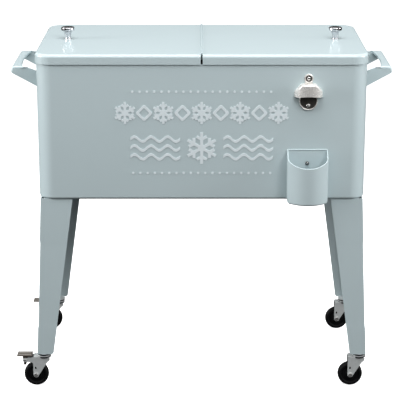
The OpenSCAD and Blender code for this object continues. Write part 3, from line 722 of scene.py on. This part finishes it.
def pan_screw(name, radius, height, shank):
    """A pan-head screw in millimetres with a cross recess, its head up +Z from z = 0."""
    screw = lathe(name, [
        (0, -shank), (radius * 0.45, -shank), (radius * 0.45, 0), (radius * 0.94, 0),
        (radius, height * 0.18), (radius * 0.96, height * 0.5), (radius * 0.78, height * 0.8),
        (radius * 0.5, height * 0.94), (0, height)], (0, 0, 0), steps=32)
    arm, half_slot, floor_z, over = radius * 0.55, radius * 0.13, height * 0.45, height * 2
    carve(screw,
          block("recess", at(-arm, -half_slot, floor_z), at(arm, half_slot, over)),
          block("recess", at(-half_slot, -arm, floor_z), at(half_slot, arm, over)))
    return screw


screw_form = pan_screw("screw_form", SCREW_R, SCREW_H, SCREW_SHANK)
screws_low, screws_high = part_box("handle_screws")
heads = []
for way, turn in ((1, TO_RIGHT), (-1, TO_LEFT)):
    for y_way in (-1, 1):
        for height in (screws_low.z + SCREW_R * MM, screws_high.z - SCREW_R * MM):
            place = (way * (screws_high.x - SCREW_H * MM), y_way * HANDLE_SCREW_Y, height)
            heads.append(copy_of(screw_form, "handle_screw", turn=turn, move=place))
attach(merge("handle_screw_set", *heads), "bright_steel", "cabinet", "handle_screws")


# ---- cap catcher ----

CATCHER_BOW = 27 * MM
CATCHER_WALL = 1.5 * MM
MOUTH_SLOPE = Vector((0, -34, 60.5)).normalized()
HEM_R = 1.35 * MM
KEYHOLE_Z = 581.5 * MM
KEYHOLE_R = 5.3 * MM
KEYHOLE_SLOT_R = 2.45 * MM
KEYHOLE_DROP = 12 * MM


def rolled_hem(cup, middle, inner_y):
    """A tube round the cup's open rim, drawn in and down a little towards the cup's middle."""
    pick(cup, "EDGE", lambda e: len(e.link_faces) == 1)
    bpy.ops.mesh.duplicate()
    bpy.ops.mesh.separate(type="SELECTED")
    rest()
    rim = next(item for item in bpy.data.objects if item.name.startswith(cup.name + "."))
    shift(rim, lambda place: Vector(
        ((middle - place.x) * 0.028, (inner_y - place.y) * 0.045, -0.6 * MM)))
    only(rim)
    bpy.ops.object.convert(target="CURVE")
    rim = bpy.context.object
    rim.data.bevel_depth = HEM_R
    rim.data.bevel_resolution = 3
    only(rim)
    bpy.ops.object.convert(target="MESH")
    rim = bpy.context.object
    rim.data.materials.clear()
    return rim


def catcher_form():
    """A folded cup: flat back, round front, sloping mouth with a rolled hem, keyhole slot."""
    low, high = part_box("cap_catcher")
    middle, back = (low.x + high.x) / 2, high.y
    half = (high.x - low.x) / 2
    radius = (half ** 2 + CATCHER_BOW ** 2) / (2 * CATCHER_BOW)
    centre = low.y + radius
    outline = [Vector((middle - half, back, low.z))]
    for step in range(25):
        angle = math.asin((step / 12 - 1) * half / radius)
        outline.append(Vector((middle + radius * math.sin(angle),
                               centre - radius * math.cos(angle), low.z)))
    outline.append(Vector((middle + half, back, low.z)))
    cup = plate("catcher_cup", outline, Vector((0, 0, high.z - low.z)))
    slice_at(cup, (middle, back - CATCHER_WALL, high.z), MOUTH_SLOPE, drop_beyond=True)
    cut_away(cup, lambda f: f.normal.z > 0.9 and spot(f).z > low.z + 5 * MM)
    soften(cup, 2.5 * MM, lambda e: upright(e) and near(spot(e).y, back), 4)
    soften(cup, 7 * MM, lambda e: upright(e) and near(abs(spot(e).x - middle), half)
           and near(spot(e).y, low.y + CATCHER_BOW, MM), 5)
    soften(cup, 5 * MM, lambda e: ends_at(e, "z", low.z), 5)
    hem = rolled_hem(cup, middle, back - 31 * MM)

    thicken(cup, CATCHER_WALL, even=False)
    entry_z = KEYHOLE_Z - KEYHOLE_DROP
    carve(cup,
          drum("hole", (middle, back, entry_z), KEYHOLE_R, 8 * MM, "Y"),
          drum("hole", (middle, back, KEYHOLE_Z), KEYHOLE_SLOT_R, 8 * MM, "Y"),
          block("hole", (middle - KEYHOLE_SLOT_R, back - 4 * MM, entry_z),
                (middle + KEYHOLE_SLOT_R, back + 4 * MM, KEYHOLE_Z)))
    return merge("catcher_cup", cup, hem)


attach(catcher_form(), "powder_coat", "catcher", "cap_catcher")

hang = middle_of("catcher_screw")
hang_low, hang_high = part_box("catcher_screw")
small_screw = pan_screw("small_screw", 3.4, SCREW_H, SCREW_SHANK)
hanging_screw = copy_of(small_screw, "catcher_hanging_screw", turn=TO_FRONT,
                        move=(hang.x, hang_low.y + SCREW_H * MM, hang.z))
discard(small_screw)
attach(hanging_screw, "bright_steel", "cabinet", "catcher_screw")
# A black washer under the hanging screw's head, put there as painted shadow round the head.
shadow_washer = lathe("catcher_rubber_washer",
               [(2.3, 0), (4.3, 0), (4.5, 0.3), (4.5, 1.1), (4.1, 1.4), (2.3, 1.4)],
               (hang.x, hang_high.y - 4.2 * MM, hang.z), "Y", 32)
attach(shadow_washer, "black_plastic", "cabinet")


# ---- bottle opener ----

HOOD_LOW, HOOD_SHOULDER, HOOD_TOP = 746 * MM, 759 * MM, 778 * MM
HOOD_ARCH = 4 * MM
HOOD_WALL = 3.4 * MM
BOSS_Z, TONGUE_Z, LOWER_SCREW_Z = 790 * MM, 735 * MM, 724 * MM
NECK_HALF = 9 * MM


def opener_hood(low, high):
    """The opener's hood: round in front, arched below, open behind."""
    middle, half = (low.x + high.x) / 2, (high.x - low.x) / 2
    sides = [(-1 + step / 4) for step in range(9)]
    arch = [(side * half * 0.8, HOOD_LOW + HOOD_ARCH * (1 - side ** 2)) for side in sides]
    shoulders = [(half, HOOD_LOW), (half, HOOD_SHOULDER), (half * 0.5, HOOD_TOP),
                 (-half * 0.5, HOOD_TOP), (-half, HOOD_SHOULDER)]
    outline = [Vector((middle + x, low.y, z)) for x, z in [(-half, HOOD_LOW)] + arch + shoulders]
    hood = plate("opener_hood", outline, Vector((0, high.y - low.y, 0)))
    carve(hood, drum("front", (middle, low.y + half, 760 * MM), half, 60 * MM, "Z", 96),
          operation="INTERSECT")
    cut_away(hood, lambda f: f.normal.z < -0.75 or f.normal.y > 0.9)
    pick_all(hood)
    bpy.ops.mesh.remove_doubles(threshold=0.5 * MM)
    rest()
    soften(hood, 3.5 * MM, lambda e: len(e.link_faces) == 2 and e.calc_face_angle(0) > 0.5
           and spot(e).z > HOOD_LOW + 6 * MM, 4)
    thicken(hood, HOOD_WALL, even=False)
    break_edges(hood, 0.6 * MM, 60)
    return hood


def opener_form():
    """A cast opener: a hood under a round screw boss, with a rim round the tongue's recess."""
    low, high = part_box("bottle_opener")
    middle, back = (low.x + high.x) / 2, high.y
    hood = opener_hood(low, high)
    boss = lathe("boss", [(0, 0.2), (11, 0.2), (11, 4.2), (10.6, 5), (9.8, 5.4), (9, 5.1),
                          (8.5, 4.2), (7.2, 3.8), (0, 3.8)], (middle, back, BOSS_Z), "Y", 48)
    neck = block("neck", (middle - NECK_HALF, back - 3 * MM, 750 * MM),
                 (middle + NECK_HALF, back, BOSS_Z))
    rim = lathe("tongue_rim", [(19.6, 0.2), (22, 0.2), (22, 3.4), (21.6, 4), (20.6, 4.2),
                               (19.8, 3.7), (19.6, 3)], (middle, back, TONGUE_Z), "Y", 64)
    return merge("opener_casting", hood, boss, neck, rim)


opener_x = middle_of("bottle_opener").x
opener_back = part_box("bottle_opener")[1].y
attach(opener_form(), "cast_opener", "cabinet", "bottle_opener")
# The round recessed tongue that catches the cap, in the shade of the hood; its dark finish is
# painted shade.
tongue = lathe("opener_tongue", [(0, 0.3), (19.8, 0.3), (19.8, 3), (18, 2.6), (12, 1.9),
                                 (6, 1.9), (5, 2.4), (0, 2.4)],
               (opener_x, opener_back, TONGUE_Z), "Y", 56)
attach(tongue, "cast_opener", "cabinet", finish=CASTING_PAINTED_SHADE)
# The upper screw's seat in the boss, in the same painted shade.
boss_seat = lathe("opener_boss_seat", [(2.4, 3.7), (8.4, 3.7), (8.4, 4.1), (7.4, 4), (2.4, 4)],
                  (opener_x, opener_back, BOSS_Z), "Y", 40)
attach(boss_seat, "cast_opener", "cabinet", finish=CASTING_PAINTED_SHADE)

screws_x = middle_of("opener_screws").x
seat_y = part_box("opener_screws")[0].y + SCREW_H * MM
opener_pair = [copy_of(screw_form, "opener_screw", turn=TO_FRONT, move=(screws_x, seat_y, height))
               for height in (BOSS_Z, LOWER_SCREW_Z)]
attach(merge("opener_screw_pair", *opener_pair), "bright_steel", "cabinet", "opener_screws")
discard(screw_form)


# ---- casters ----

# In millimetres from the swivel's axis and from the floor.
AXLE_X, AXLE_Z = -21, 31
AXLE_EYE_R = 7
CHEEK_Y, CHEEK_WALL = 14, 2.5
PIVOT_X, PIVOT_Z, PIVOT_EYE_R = -49, 70, 5
CROWN_TOP = 79.2
CHEEK_HOLE_Z = 49


def wheel_form(name, centre):
    """A solid tyre with a round tread and a groove each side, on a dished hub."""
    half = [(0, 11), (4.4, 11), (4.8, 10.6), (5.2, 9.2), (10.8, 9), (12.2, 8.4), (13.2, 6.4),
            (21, 5.8), (22.4, 7.2), (23, 9.3), (24, 9.8), (25.2, 9.8), (27.6, 9), (29.6, 7.2),
            (30.7, 4.4), (31, 0)]
    profile = half + [(radius, -height) for radius, height in reversed(half[:-1])]
    return lathe(name, profile, centre, "Y", 56)


def arc(x, z, radius, first, last, step):
    """Points round (x, z) at each step of degrees, from first towards last."""
    return [(x + radius * math.cos(math.radians(angle)), z + radius * math.sin(math.radians(angle)))
            for angle in range(first, last, step)]


def cheek_outline(braked):
    """A cheek's side view: round under the axle, and longer at the back where a pedal is hung."""
    behind = AXLE_X - AXLE_EYE_R
    outline = arc(AXLE_X, AXLE_Z, AXLE_EYE_R, -50, -181, -13) + [(behind, AXLE_Z), (behind, 60)]
    if braked:
        outline += [(AXLE_X - 10, 64.5), (-43, 65.5)]
        outline += arc(PIVOT_X, PIVOT_Z, PIVOT_EYE_R, -80, -261, -20)
    else:
        outline += [(behind, 74.6)]
    return outline + [(AXLE_X - 6, 77), (13, 77), (14.4, 74), (13.4, 69), (8, 65), (-1, 51)]


def fork_form(corner, stem, braked):
    """A pressed fork: a round crown and two cheeks that taper from the crown down to the axle."""
    cheeks = []
    for side in (-1, 1):
        y = side * CHEEK_Y
        cheek = plate("cheek", [at(x, y, z) for x, z in cheek_outline(braked)],
                      at(0, -side * CHEEK_WALL, 0))
        oval = drum("oval", at(AXLE_X - 1, y, CHEEK_HOLE_Z), 2.1 * MM, 12 * MM, "Y", 20)
        shift(oval, lambda place: at(0, 0, (place.z / MM - CHEEK_HOLE_Z) * 0.7))
        carve(cheek, oval)
        cheeks.append(cheek)
    crown = lathe("crown", [(4.3, 76.9), (13.4, 76.9), (14.6, 76), (15, 76.6), (14.6, 78.4),
                            (13.4, CROWN_TOP), (4.3, CROWN_TOP)], (0, 0, 0), steps=40)
    bridge = block("bridge", at(AXLE_X - 6, -13.9, 76.6), at(0, 13.9, 79))
    fork = merge(corner + "_fork_form", *cheeks, crown, bridge)
    break_edges(fork, 0.5 * MM, 50)
    shift(fork, lambda place: stem)
    return fork


for corner, (x_way, _) in CORNERS.items():
    hub = middle_of(corner + "_wheel")
    stem = Vector((hub.x - AXLE_X * MM, hub.y, 0))
    attach(wheel_form(corner + "_tyre", hub), "wheel_black", corner + "_roller", corner + "_wheel")
    attach(fork_form(corner, stem, x_way < 0), "zinc_plate", corner + "_swivel", corner + "_fork")
    dust_ring = lathe(corner + "_dust_ring", [(14, 76.4), (16.4, 76.2), (17, 76.8), (17, 78.9),
                                              (16.6, 79.4), (14, 79.4)], stem, steps=48)
    attach(dust_ring, "black_plastic", corner + "_swivel")
    collar = lathe(corner + "_cup_collar", [(15, 82.6), (16.9, 82.6), (17.4, 83.2), (17.4, 86.2),
                                            (16.9, 86.9), (15, 86.9)], stem, steps=48)
    attach(collar, "black_plastic", "cabinet")


# ---- brake pedals ----

RIB_ACROSS = 6.5 * MM
RIB_HALF = 2 * MM
RIB_RISE = 0.7 * MM


def pedal_ribs(corner):
    """Two raised ribs pressed along the top of a brake pedal's foot plate."""
    low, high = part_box(corner + "_brake_pedal")
    rib_top = high.z + RIB_RISE
    ribs = []
    for side in (-1, 1):
        y = (low.y + high.y) / 2 + side * RIB_ACROSS
        rib = block("rib", (low.x + 3 * MM, y - RIB_HALF, high.z - 0.3 * MM),
                    (high.x - 3 * MM, y + RIB_HALF, rib_top))
        soften(rib, 1.9 * MM, upright, 4)
        soften(rib, 0.6 * MM, lambda e: ends_at(e, "z", rib_top), 3)
        ribs.append(rib)
    return merge(corner + "_pedal_ribs", *ribs)


for corner in ("left_front", "left_back"):
    # The ribs take the lighter pedal steel, a painted highlight.
    attach(pedal_ribs(corner), "pedal_steel", corner + "_brake", finish=PEDAL_RIB_HIGHLIGHT)


# ---- parts kept to their worked shape, with broken edges ----

EDGE_BREAK = 0.35 * MM
EDGE_BREAKS = {"top_rim": 1.2 * MM, "tub_wall": 0.5 * MM, "leg_bolts": 0.5 * MM,
               "hinge_bridge": 1 * MM}
STAY_AS_THEY_ARE = ("front_emblem", "foam_insulation", "left_lid_foam", "right_lid_foam",
                    "swivel_washers", "left_knob_screw", "right_knob_screw")
for node in node_slot:
    if not frame["nodes"][node].hide_render and node not in STAY_AS_THEY_ARE:
        ease_node(node, EDGE_BREAKS.get(node, EDGE_BREAK))


# ---- floor, light and camera ----

WORLD_LEVEL = 0.30
# The world's brightness by height: 0 is the horizon and all below it, 1 is overhead.
WORLD_STEPS = ((0.0, 0.12), (0.17, 0.15), (0.25, 1.15), (1.0, 1.3))
# Each lamp's name, place, aim, width in metres and power in watts.
LAMPS = (
    ("overhead_softbox", (0.0, -0.8, 3.3), (0, 0, 0.5), 3.0, 98),
    ("front_softbox", (1.7, -2.7, 2.6), (0, 0, 0.5), 1.1, 40),
    ("left_softbox", (-3.0, -0.5, 1.4), (0, 0, 0.6), 1.2, 84),
    ("right_softbox", (3.0, -0.5, 1.4), (0, 0, 0.6), 1.2, 52),
)
FLOOR_W = 300
FLOOR_GLOW = 0.75
CAMERA_PLACE = (-0.004, -3.81, 1.531)
CAMERA_DIP = 16.16
CAMERA_LENS = 138.5


def graded_world():
    """A studio that is bright above, and dark low over the horizon and below it."""
    world = bpy.data.worlds.new("studio_world")
    bpy.context.scene.world = world
    world.use_nodes = True
    sky = NodeTree(world.node_tree)
    way = sky.node("ShaderNodeTexCoord", output="Generated")
    height = sky.node("ShaderNodeSeparateXYZ", {}, {"Vector": way}, "Z")
    stops = [(place, (level, level, level * 1.01)) for place, level in WORLD_STEPS]
    backdrop = sky.tree.nodes["Background"]
    sky.set(backdrop.inputs["Color"],
            sky.node("ShaderNodeValToRGB", {"stops": stops}, {"Fac": height}, "Color"))
    backdrop.inputs["Strength"].default_value = WORLD_LEVEL


def lay_floor():
    """A pale floor that glows for the camera alone, so that it lights nothing."""
    rest()
    bpy.ops.mesh.primitive_plane_add(size=FLOOR_W, location=(0, 4, 0))
    floor = bpy.context.object
    floor.name = "studio_floor"
    pale = Finish("pale_floor", (0.95, 0.95, 0.95), roughness=0.95)
    pale.shade(pale.noise(2.0), 1.0, 0.99)
    pale.shader.inputs["Emission Color"].default_value = (1, 1, 1, 1)
    pale.shader.inputs["Emission Strength"].default_value = FLOOR_GLOW
    floor.data.materials.append(pale.material)
    floor.visible_diffuse = False
    floor.visible_glossy = False


def hang_lamps():
    for name, place, aim, size, power in LAMPS:
        light = bpy.data.lights.new(name, "AREA")
        light.size = size
        light.energy = power
        lamp = bpy.data.objects.new(name, light)
        bpy.context.collection.objects.link(lamp)
        lamp.location = place
        lamp.rotation_euler = (Vector(aim) - Vector(place)).to_track_quat("-Z", "Y").to_euler()


def place_camera():
    camera_data = bpy.data.cameras.new("camera")
    camera = bpy.data.objects.new("camera", camera_data)
    bpy.context.collection.objects.link(camera)
    camera.location = CAMERA_PLACE
    camera.rotation_euler = (math.radians(90 - CAMERA_DIP), 0, 0)
    camera_data.sensor_width = 36
    camera_data.lens = CAMERA_LENS
    bpy.context.scene.camera = camera
    bpy.context.scene.view_settings.view_transform = "Standard"


lay_floor()
graded_world()
hang_lamps()
place_camera()
